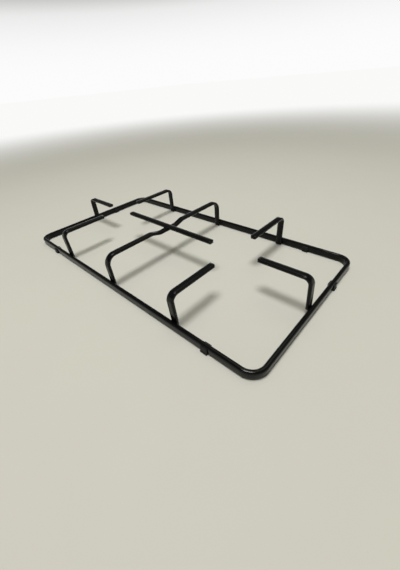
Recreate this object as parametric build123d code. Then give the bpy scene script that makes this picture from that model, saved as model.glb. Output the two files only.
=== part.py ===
from build123d import *
import os

# A pan support for two hob burners: a frame of flat bar on edge, a cross bar with a dip, a straight
# bar lying in that dip, six bent fingers and five rubber feet. Millimetres, Z up. The origin is under
# the middle of the frame, on the surface that the feet stand on. X runs along the frame, and the
# front side is the long side at negative Y.

# Frame of flat bar on edge
frame_length = 450.0
frame_width = 232.5
frame_bar_thickness = 5.4
frame_bar_height = 9.2
frame_corner_radius = 18.5
frame_edge_radius = 2.2

# Flat bar of the fingers, the cross bar and the centre bar
arm_width = 8.7
arm_thickness = 4.0
arm_edge_chamfer = 0.9
arm_bend_radius = 6.0
cross_bend_radius = 11.0
tip_corner_radius = 2.4
support_height = 46.2

# Legs: how far their ends stay above the bottom of the frame bar, and how far they lean inwards
leg_foot_lift = 0.3
end_leg_foot_lift = 5.4
end_leg_lean = 2.5
side_leg_lean = 0.0
front_right_leg_lean = -1.6

# Burners: their spacing, their line, the free space between each centre and the finger tips, and how
# far two fingers stand beside their burner's centre
burner_spacing = 237.0
burner_line_offset = -4.5
left_side_gap = 35.0
left_line_gap = 30.0
right_side_gap = 39.0
right_line_gap = 34.5
front_right_finger_shift = -0.7
rear_right_finger_shift = 1.2

# Cross bar: its place along the frame, and its dip under the centre bar
cross_bar_offset = -1.1
dip_flat_length = 32.0
dip_ramp_length = 14.0
dip_bend_radius = 12.0

# Rubber feet, with their places along the frame bar measured from its outside corners
foot_drop = 0.8
foot_length = 8.6
foot_wall = 1.4
foot_cheek_drop = 2.0
foot_flare = 0.9
foot_flare_height = 2.5
foot_heel = 1.2
foot_chamfer = 0.4
foot_clearance = 0.1
front_left_foot_inset = 65.5
front_right_foot_inset = 59.5
rear_right_foot_inset = 64.0
left_end_foot_inset = 75.0
right_end_foot_inset = 66.0

frame_bottom = foot_drop
frame_top = frame_bottom + frame_bar_height
inner_half_length = frame_length / 2 - frame_bar_thickness
inner_half_width = frame_width / 2 - frame_bar_thickness
left_burner = -burner_spacing / 2
right_burner = burner_spacing / 2
front_right_line = right_burner + front_right_finger_shift
rear_right_line = right_burner + rear_right_finger_shift
bar_middle_height = support_height - arm_thickness / 2
finger_bend = arm_bend_radius + arm_thickness / 2
cross_bend = cross_bend_radius + arm_thickness / 2


def frame_ring():
    """The bar bent into a rounded rectangle, with its long edges rounded over."""
    inner_radius = frame_corner_radius - frame_bar_thickness
    outline = RectangleRounded(frame_length, frame_width, frame_corner_radius)
    opening = RectangleRounded(2 * inner_half_length, 2 * inner_half_width, inner_radius)
    bar = Pos(0, 0, frame_bottom) * extrude(outline - opening, amount=frame_bar_height)
    rims = bar.faces().filter_by(Axis.Z).edges()
    return fillet(rims, frame_edge_radius)


def flat_bar(route, radii):
    """Flat bar along a route of (reach, height) points in the XZ plane, bent round the given radii."""
    points = [(reach, 0, height) for reach, height in route]
    path = FilletPolyline(*points, radius=radii) if radii else Line(*points)
    section = chamfer(Rectangle(arm_width, arm_thickness).vertices(), arm_edge_chamfer)
    return sweep(Plane(path @ 0, x_dir=(0, 1, 0), z_dir=path % 0) * section, path=path)


def round_tips(bar, low_reach, high_reach):
    """Rounds a bar in plan at both ends of the given stretch of X."""
    outline = RectangleRounded(high_reach - low_reach, arm_width, tip_corner_radius)
    column = extrude(outline, amount=support_height + arm_thickness)
    return bar & Pos((low_reach + high_reach) / 2, 0, 0) * column


def finger(wall, tip, lift, lean):
    """A leg against a wall at the given reach, leaning above it, then an arm to the tip."""
    foot_reach = wall - arm_thickness / 2
    route = [(foot_reach, frame_bottom + lift)]
    if lean:
        route.append((foot_reach, frame_top))
    route += [(foot_reach - lean, bar_middle_height), (tip, bar_middle_height)]
    bar = flat_bar(route, [finger_bend] * (len(route) - 2))
    beyond_leg = wall + arm_width
    return round_tips(bar, tip, beyond_leg)


def cross_bar():
    """A leg against each long side, and between them an arm that dips under the centre bar."""
    foot_reach = inner_half_width - arm_thickness / 2
    leg_bottom = frame_bottom + leg_foot_lift
    dip_height = bar_middle_height - arm_thickness
    half_dip = dip_flat_length / 2
    half_crest = half_dip + dip_ramp_length
    route = [
        (-foot_reach, leg_bottom),
        (-foot_reach, bar_middle_height),
        (burner_line_offset - half_crest, bar_middle_height),
        (burner_line_offset - half_dip, dip_height),
        (burner_line_offset + half_dip, dip_height),
        (burner_line_offset + half_crest, bar_middle_height),
        (foot_reach, bar_middle_height),
        (foot_reach, leg_bottom),
    ]
    radii = [cross_bend] + [dip_bend_radius] * 4 + [cross_bend]
    return Pos(cross_bar_offset, 0, 0) * Rot(0, 0, 90) * flat_bar(route, radii)


def centre_bar():
    """The straight bar along the burner line, lying in the dip of the cross bar."""
    left_tip = left_burner + left_line_gap
    right_tip = right_burner - right_line_gap
    route = [(left_tip, bar_middle_height), (right_tip, bar_middle_height)]
    return Pos(0, burner_line_offset, 0) * round_tips(flat_bar(route, []), left_tip, right_tip)


def long_side_finger(side, along, gap, lean):
    """A finger on the front side (-1) or the rear side (1), at the given place along X."""
    tip = gap + side * burner_line_offset
    bar = finger(inner_half_width, tip, leg_foot_lift, lean)
    return Pos(along, 0, 0) * Rot(0, 0, side * 90) * bar


def end_finger(side, burner, gap):
    """A finger on the left end (-1) or the right end (1), on the burner line."""
    turn = 0 if side > 0 else 180
    bar = finger(inner_half_length, side * burner + gap, end_leg_foot_lift, end_leg_lean)
    return Pos(0, burner_line_offset, 0) * Rot(0, 0, turn) * bar


def foot(outer_reach):
    """A rubber clip pushed from below onto a stretch of frame bar along Y. The bar stands on its floor."""
    half_body = frame_bar_thickness / 2 + foot_wall
    half_base = half_body + foot_flare
    cheek_top = frame_top - foot_cheek_drop
    right_side = [
        (half_base - foot_heel, 0),
        (half_base, foot_heel),
        (half_body, foot_flare_height),
        (half_body, cheek_top),
    ]
    left_side = [(-across, height) for across, height in reversed(right_side)]
    profile = make_face(Polyline(*right_side, *left_side, close=True))
    body = chamfer(extrude(Plane.XZ * profile, amount=foot_length / 2, both=True).edges(), foot_chamfer)
    slot_width = frame_bar_thickness + 2 * foot_clearance
    slot_height = 2 * frame_bar_height
    slot_section = RectangleRounded(slot_width, slot_height, frame_edge_radius + foot_clearance)
    slot_middle = frame_bottom + slot_height / 2
    slot = extrude(Plane.XZ * Pos(0, slot_middle) * slot_section, amount=foot_length, both=True)
    return Pos(outer_reach - frame_bar_thickness / 2, 0, 0) * (body - slot)


def long_side_foot(side, along):
    """A foot on the front side (-1) or the rear side (1)."""
    return Pos(along, 0, 0) * Rot(0, 0, side * 90) * foot(frame_width / 2)


def end_foot(side, inset):
    """A foot on the left end (-1) or the right end (1), measured from the rear side."""
    turn = 0 if side > 0 else 180
    return Pos(0, frame_width / 2 - inset, 0) * Rot(0, 0, turn) * foot(frame_length / 2)


nodes = {
    "frame_ring": frame_ring(),
    "cross_bar": cross_bar(),
    "centre_bar": centre_bar(),
    "front_left_finger": long_side_finger(-1, left_burner, left_side_gap, side_leg_lean),
    "rear_left_finger": long_side_finger(1, left_burner, left_side_gap, side_leg_lean),
    "front_right_finger": long_side_finger(-1, front_right_line, right_side_gap, front_right_leg_lean),
    "rear_right_finger": long_side_finger(1, rear_right_line, right_side_gap, side_leg_lean),
    "left_end_finger": end_finger(-1, left_burner, left_line_gap),
    "right_end_finger": end_finger(1, right_burner, right_line_gap),
    "front_left_foot": long_side_foot(-1, front_left_foot_inset - frame_length / 2),
    "front_right_foot": long_side_foot(-1, frame_length / 2 - front_right_foot_inset),
    "rear_right_foot": long_side_foot(1, frame_length / 2 - rear_right_foot_inset),
    "left_end_foot": end_foot(-1, left_end_foot_inset),
    "right_end_foot": end_foot(1, right_end_foot_inset),
}

os.makedirs("parts", exist_ok=True)
for name, solid in nodes.items():
    export_step(solid, f"parts/{name}.step")
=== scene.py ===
import math

import bmesh
import bpy
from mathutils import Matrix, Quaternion, Vector, noise


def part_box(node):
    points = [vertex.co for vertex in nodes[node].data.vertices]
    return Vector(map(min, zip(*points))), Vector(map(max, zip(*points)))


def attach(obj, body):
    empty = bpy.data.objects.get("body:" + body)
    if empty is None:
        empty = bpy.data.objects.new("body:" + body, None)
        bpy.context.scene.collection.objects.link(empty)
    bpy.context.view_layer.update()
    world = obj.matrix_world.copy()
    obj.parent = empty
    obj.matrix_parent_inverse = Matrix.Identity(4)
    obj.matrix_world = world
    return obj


# Looks for the pan support: enamel on the steel bars, rubber feet, weld fillets where the legs meet
# the frame and where two bars cross, and a pale floor under one soft lamp. Metres, in the frame of
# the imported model.

MM = 0.001

# Rounding of the chamfered edges of the bars and feet
edge_round = 0.6 * MM
edge_segments = 3
edge_angle = math.radians(28)
merge_gap = 0.001 * MM
flat_weight = 60

# Enamel: how far it flows round the edges of the frame and of the bars, and its ripple, pits and haze
enamel_ior = 1.28
enamel_dark = (0.0025, 0.0026, 0.0031)
enamel_light = (0.0042, 0.0042, 0.0045)
enamel_glossy = 0.07
enamel_dull = 0.17
ring_flow = 2.2 * MM
bar_flow = 4.0 * MM
flow_samples = 8
ripple_scale = 260.0
ripple_detail = 2.0
ripple_depth = 0.12 * MM
ripple_strength = 0.8
pit_scale = 1500.0
pit_detail = 3.0
pit_depth = 0.02 * MM
pit_strength = 0.5
haze_scale = 38.0
haze_detail = 4.0

# Rubber of the feet, with its grain and dust
rubber_ior = 1.34
rubber_dark = (0.003, 0.003, 0.0034)
rubber_dusty = (0.006, 0.006, 0.006)
rubber_smooth = 0.45
rubber_rough = 0.6
grain_scale = 2600.0
grain_detail = 3.0
grain_depth = 0.04 * MM
grain_strength = 0.5
dust_scale = 420.0
dust_detail = 4.0

# Weld fillets beside the legs and at the crossing of the bars
arm_chamfer = 0.9 * MM
frame_edge_radius = 2.2 * MM
weld_radius = 1.7 * MM
weld_end_radius = 1.0 * MM
weld_end_power = 0.35
weld_wave = 0.16
weld_wave_length = 1.6 * MM
weld_sink = 0.06 * MM
weld_rings = 22
weld_arc_steps = 7
leg_seed_step = 3.7
crossing_seed = 40

# Camera and lamp
camera_place = Vector((0.28236, -0.22852, 0.20961))
look_azimuth = math.radians(135.43)
look_elevation = math.radians(-37.91)
camera_roll = math.radians(-5.48)
lens_mm = 16.673
sensor_mm = 36.0
nearest_seen = 10 * MM
farthest_seen = 60.0
lamp_place = Vector((0.10, -0.21, 2.0))
lamp_size = 0.74
lamp_power = 31.8

# Floor, which goes over into white between two distances from the part
floor_half = 15.0
floor_colour = (0.616, 0.613, 0.539)
floor_blotch = (0.624, 0.604, 0.547)
blotch_scale = 9.0
blotch_detail = 3.0
blotch_start = 0.4
blotch_end = 0.65
far_colour = (0.95, 0.95, 0.94, 1.0)
fade_start = 0.75
fade_end = 2.2

# The room: its walls by the upward part of the direction, and a pale patch of ceiling by its nearness
wall_stops = (
    (0.0, (0.97, 0.97, 0.97)),
    (0.15, (0.97, 0.97, 0.97)),
    (0.21, (0.12, 0.117, 0.098)),
    (0.34, (0.11, 0.107, 0.088)),
    (1.0, (0.11, 0.107, 0.088)),
)
patch_axis = Vector((-0.164, 0.406, 0.899))
patch_stops = (
    (0.913, (0.0, 0.0, 0.0)),
    (0.988, (1.15, 1.12, 0.94)),
)

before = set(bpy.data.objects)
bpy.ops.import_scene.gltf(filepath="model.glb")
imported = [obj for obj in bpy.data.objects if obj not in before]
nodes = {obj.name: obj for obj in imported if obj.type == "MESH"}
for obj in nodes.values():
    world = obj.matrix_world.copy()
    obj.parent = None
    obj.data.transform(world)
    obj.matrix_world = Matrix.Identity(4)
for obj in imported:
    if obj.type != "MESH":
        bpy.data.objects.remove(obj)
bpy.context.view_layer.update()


def new_material(name):
    """A node material with nothing in it but its output, with its tree and that output."""
    material = bpy.data.materials.new(name)
    material.use_nodes = True
    tree = material.node_tree
    tree.nodes.clear()
    output = tree.nodes.new("ShaderNodeOutputMaterial")
    return material, tree, output


def add(tree, kind, **inputs):
    """A node of the given kind with its inputs set by name."""
    made = tree.nodes.new(kind)
    for name, value in inputs.items():
        made.inputs[name.replace("_", " ")].default_value = value
    return made


def noise_node(tree, place, scale, detail):
    """Noise at a place in the object's own space, with its scale per metre."""
    made = add(tree, "ShaderNodeTexNoise", Scale=scale, Detail=detail)
    tree.links.new(place, made.inputs["Vector"])
    return made.outputs["Fac"]


def ramp(tree, value, stops, blend="LINEAR"):
    """A colour that goes through the given (place, colour) stops as the input rises."""
    made = tree.nodes.new("ShaderNodeValToRGB")
    made.color_ramp.interpolation = blend
    first, *between, last = stops
    for element, (place, colour) in zip(made.color_ramp.elements, (first, last)):
        element.position = place
        element.color = (*colour, 1.0)
    for place, colour in between:
        made.color_ramp.elements.new(place).color = (*colour, 1.0)
    tree.links.new(value, made.inputs["Fac"])
    return made.outputs["Color"]


def spread(low, high, start=0.3, end=0.7):
    """The stops of a ramp from one colour to another, over the given stretch of a noise."""
    return (start, low), (end, high)


def grey(value):
    """A colour of three like parts, which a socket for one number reads as that number."""
    return value, value, value


def bump(tree, height, distance, strength, below=None):
    """A bump of the given depth, on top of another one."""
    made = add(tree, "ShaderNodeBump", Distance=distance, Strength=strength)
    tree.links.new(height, made.inputs["Height"])
    if below:
        tree.links.new(below, made.inputs["Normal"])
    return made.outputs["Normal"]


def enamel(name, flow_radius):
    """Black vitreous enamel that has flowed round the edges, with a ripple, pits and uneven gloss."""
    material, tree, output = new_material(name)
    place = tree.nodes.new("ShaderNodeTexCoord").outputs["Object"]
    shader = add(tree, "ShaderNodeBsdfPrincipled", IOR=enamel_ior)
    flow = add(tree, "ShaderNodeBevel", Radius=flow_radius)
    flow.samples = flow_samples
    ripple = noise_node(tree, place, ripple_scale, ripple_detail)
    pits = noise_node(tree, place, pit_scale, pit_detail)
    haze = noise_node(tree, place, haze_scale, haze_detail)
    tone = ramp(tree, haze, spread(enamel_dark, enamel_light))
    gloss = ramp(tree, haze, spread(grey(enamel_glossy), grey(enamel_dull)))
    surface = bump(tree, ripple, ripple_depth, ripple_strength, flow.outputs["Normal"])
    surface = bump(tree, pits, pit_depth, pit_strength, surface)
    tree.links.new(tone, shader.inputs["Base Color"])
    tree.links.new(gloss, shader.inputs["Roughness"])
    tree.links.new(surface, shader.inputs["Normal"])
    tree.links.new(shader.outputs["BSDF"], output.inputs["Surface"])
    return material


def rubber():
    """Matt black rubber with a fine grain and a trace of dust."""
    material, tree, output = new_material("rubber")
    place = tree.nodes.new("ShaderNodeTexCoord").outputs["Object"]
    shader = add(tree, "ShaderNodeBsdfPrincipled", IOR=rubber_ior)
    grain = noise_node(tree, place, grain_scale, grain_detail)
    dust = noise_node(tree, place, dust_scale, dust_detail)
    tone = ramp(tree, dust, spread(rubber_dark, rubber_dusty))
    matt = ramp(tree, dust, spread(grey(rubber_smooth), grey(rubber_rough)))
    surface = bump(tree, grain, grain_depth, grain_strength)
    tree.links.new(tone, shader.inputs["Base Color"])
    tree.links.new(matt, shader.inputs["Roughness"])
    tree.links.new(surface, shader.inputs["Normal"])
    tree.links.new(shader.outputs["BSDF"], output.inputs["Surface"])
    return material


def floor_paint():
    """A pale floor with faint blotches, going over into plain white far from the part."""
    material, tree, output = new_material("floor_paint")
    place = tree.nodes.new("ShaderNodeTexCoord").outputs["Object"]
    matt = add(tree, "ShaderNodeBsdfDiffuse")
    blotches = noise_node(tree, place, blotch_scale, blotch_detail)
    tone = ramp(tree, blotches, spread(floor_colour, floor_blotch, blotch_start, blotch_end))
    tree.links.new(tone, matt.inputs["Color"])
    glow = add(tree, "ShaderNodeEmission", Color=far_colour)
    reach = tree.nodes.new("ShaderNodeVectorMath")
    reach.operation = "LENGTH"
    tree.links.new(place, reach.inputs[0])
    fade = add(tree, "ShaderNodeMapRange", From_Min=fade_start, From_Max=fade_end)
    fade.interpolation_type = "SMOOTHSTEP"
    tree.links.new(reach.outputs["Value"], fade.inputs["Value"])
    mix = tree.nodes.new("ShaderNodeMixShader")
    tree.links.new(fade.outputs["Result"], mix.inputs["Fac"])
    tree.links.new(matt.outputs["BSDF"], mix.inputs[1])
    tree.links.new(glow.outputs["Emission"], mix.inputs[2])
    tree.links.new(mix.outputs["Shader"], output.inputs["Surface"])
    return material


def paint(piece, material):
    """Puts one material on a piece, in place of what it came with."""
    piece.data.materials.clear()
    piece.data.materials.append(material)


def round_edges(piece):
    """Rounds the chamfered edges of a bar or foot, and evens the shading of its flats."""
    join = piece.modifiers.new("join_corners", "WELD")
    join.merge_threshold = merge_gap
    bevel = piece.modifiers.new("round_edges", "BEVEL")
    bevel.width = edge_round
    bevel.segments = edge_segments
    bevel.limit_method = "ANGLE"
    bevel.angle_limit = edge_angle
    bevel.use_clamp_overlap = True
    shade = piece.modifiers.new("even_shading", "WEIGHTED_NORMAL")
    shade.keep_sharp = False
    shade.weight = flat_weight


def fillet_section(radius):
    """Points (along, away) of a concave fillet in the corner of a wall and a bar's chamfered side."""
    points = [(-arm_chamfer, -weld_sink)]
    for step in range(weld_arc_steps + 1):
        turn = math.pi / 2 * step / weld_arc_steps
        points.append((radius * (1 - math.sin(turn)), radius * (1 - math.cos(turn))))
    points.append((-weld_sink, arm_chamfer))
    return points


def weld_bead(mesh, corner, along, away, run, length, seed):
    """A wavy fillet that runs along a corner and thins out at both ends."""
    rings = []
    for ring in range(weld_rings + 1):
        share = ring / weld_rings
        swell = math.sin(math.pi * share) ** weld_end_power
        wave = noise.noise(Vector((seed, length * share / weld_wave_length, 0.0)))
        radius = weld_end_radius + (weld_radius - weld_end_radius) * swell
        radius *= 1 + weld_wave * wave * swell
        centre = corner + run * length * share
        section = fillet_section(radius)
        rings.append([mesh.verts.new(centre + along * a + away * b) for a, b in section])
    for first, second in zip(rings, rings[1:]):
        for i in range(len(first)):
            j = (i + 1) % len(first)
            mesh.faces.new((first[i], first[j], second[j], second[i]))
    mesh.faces.new(rings[0][::-1])
    mesh.faces.new(rings[-1])


def finish_piece(mesh, name, material):
    """Makes an object of a mesh, smooths it, and lets it ride with the part."""
    bmesh.ops.recalc_face_normals(mesh, faces=mesh.faces[:])
    for face in mesh.faces:
        face.smooth = True
    data = bpy.data.meshes.new(name)
    mesh.to_mesh(data)
    mesh.free()
    piece = bpy.data.objects.new(name, data)
    bpy.context.scene.collection.objects.link(piece)
    paint(piece, material)
    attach(piece, "root")


def leg_weld(name, node, wall, inward, material, seed):
    """The two upright fillets between a leg and the inner face of the frame."""
    low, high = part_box(node)
    ring_low, ring_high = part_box("frame_ring")
    middle = (low + high) / 2
    sideways = Vector((-inward.y, inward.x, 0.0))
    up = Vector((0.0, 0.0, 1.0))
    width = abs((high - low).dot(sideways))
    bottom = max(low.z, ring_low.z + frame_edge_radius)
    top = ring_high.z - frame_edge_radius
    foot = sideways * middle.dot(sideways) - inward * wall + up * bottom
    mesh = bmesh.new()
    for side in (-1, 1):
        corner = foot + sideways * side * width / 2
        weld_bead(mesh, corner, sideways * side, inward, up, top - bottom, seed + side)
    finish_piece(mesh, name, material)


def crossing_weld(material):
    """The fillets beside the centre bar where it lies in the dip of the cross bar."""
    bar_low, bar_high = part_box("centre_bar")
    cross_low, cross_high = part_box("cross_bar")
    half_run = (cross_high.x - cross_low.x) / 2 - arm_chamfer
    start = (cross_low.x + cross_high.x) / 2 - half_run
    run, up = Vector((1.0, 0.0, 0.0)), Vector((0.0, 0.0, 1.0))
    mesh = bmesh.new()
    for side, edge in ((-1, bar_low.y), (1, bar_high.y)):
        corner = Vector((start, edge, bar_low.z))
        sideways = Vector((0.0, side, 0.0))
        weld_bead(mesh, corner, sideways, up, run, 2 * half_run, crossing_seed + side)
    finish_piece(mesh, "crossing_weld", material)


def add_welds(material):
    """A weld at the foot of each leg, and one at the crossing."""
    front, rear = Vector((0.0, 1.0, 0.0)), Vector((0.0, -1.0, 0.0))
    left, right = Vector((1.0, 0.0, 0.0)), Vector((-1.0, 0.0, 0.0))
    half_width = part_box("cross_bar")[1].y
    half_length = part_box("right_end_finger")[1].x
    legs = (
        ("front_left_weld", "front_left_finger", half_width, front),
        ("front_cross_weld", "cross_bar", half_width, front),
        ("front_right_weld", "front_right_finger", half_width, front),
        ("rear_left_weld", "rear_left_finger", half_width, rear),
        ("rear_cross_weld", "cross_bar", half_width, rear),
        ("rear_right_weld", "rear_right_finger", half_width, rear),
        ("left_end_weld", "left_end_finger", half_length, left),
        ("right_end_weld", "right_end_finger", half_length, right),
    )
    for number, (name, node, wall, inward) in enumerate(legs):
        leg_weld(name, node, wall, inward, material, leg_seed_step * number)
    crossing_weld(material)


def add_floor():
    """One large flat sheet under the feet."""
    corners = [(-1, -1), (1, -1), (1, 1), (-1, 1)]
    data = bpy.data.meshes.new("floor")
    data.from_pydata([(x * floor_half, y * floor_half, 0.0) for x, y in corners], [], [(0, 1, 2, 3)])
    sheet = bpy.data.objects.new("floor", data)
    bpy.context.scene.collection.objects.link(sheet)
    paint(sheet, floor_paint())


def add_lamp():
    """One soft round lamp over the front of the part."""
    data = bpy.data.lights.new("lamp", "AREA")
    data.shape = "DISK"
    data.size = lamp_size
    data.energy = lamp_power
    lamp = bpy.data.objects.new("lamp", data)
    lamp.location = lamp_place
    lamp.rotation_euler = (-lamp_place).to_track_quat("-Z", "Y").to_euler()
    bpy.context.scene.collection.objects.link(lamp)


def add_world():
    """A dim room that is pale near the horizon and on a patch of its ceiling behind the part."""
    world = bpy.data.worlds.new("room")
    world.use_nodes = True
    bpy.context.scene.world = world
    tree = world.node_tree
    tree.nodes.clear()
    output = tree.nodes.new("ShaderNodeOutputWorld")
    sky = tree.nodes.new("ShaderNodeBackground")
    direction = tree.nodes.new("ShaderNodeTexCoord").outputs["Generated"]
    split = tree.nodes.new("ShaderNodeSeparateXYZ")
    tree.links.new(direction, split.inputs["Vector"])
    nearness = tree.nodes.new("ShaderNodeVectorMath")
    nearness.operation = "DOT_PRODUCT"
    nearness.inputs[1].default_value = patch_axis
    tree.links.new(direction, nearness.inputs[0])
    both = tree.nodes.new("ShaderNodeVectorMath")
    both.operation = "ADD"
    tree.links.new(ramp(tree, split.outputs["Z"], wall_stops, "B_SPLINE"), both.inputs[0])
    tree.links.new(ramp(tree, nearness.outputs["Value"], patch_stops), both.inputs[1])
    tree.links.new(both.outputs["Vector"], sky.inputs["Color"])
    tree.links.new(sky.outputs["Background"], output.inputs["Surface"])


def add_camera():
    """The photograph's point of view."""
    data = bpy.data.cameras.new("camera")
    data.sensor_width = sensor_mm
    data.lens = lens_mm
    data.clip_start = nearest_seen
    data.clip_end = farthest_seen
    camera = bpy.data.objects.new("camera", data)
    level = math.cos(look_elevation)
    look_x, look_y = level * math.cos(look_azimuth), level * math.sin(look_azimuth)
    look = Vector((look_x, look_y, math.sin(look_elevation)))
    camera.location = camera_place
    camera.rotation_mode = "QUATERNION"
    camera.rotation_quaternion = look.to_track_quat("-Z", "Y") @ Quaternion((0, 0, 1), camera_roll)
    bpy.context.scene.collection.objects.link(camera)
    bpy.context.scene.camera = camera


bpy.context.scene.view_settings.view_transform = "Standard"
ring_paint, bar_paint = enamel("ring_enamel", ring_flow), enamel("bar_enamel", bar_flow)
foot_paint = rubber()
for name, node in nodes.items():
    if name == "frame_ring":
        paint(node, ring_paint)
    elif name.endswith("_foot"):
        paint(node, foot_paint)
        round_edges(node)
    else:
        paint(node, bar_paint)
        round_edges(node)
add_welds(ring_paint)
add_floor()
add_lamp()
add_world()
add_camera()
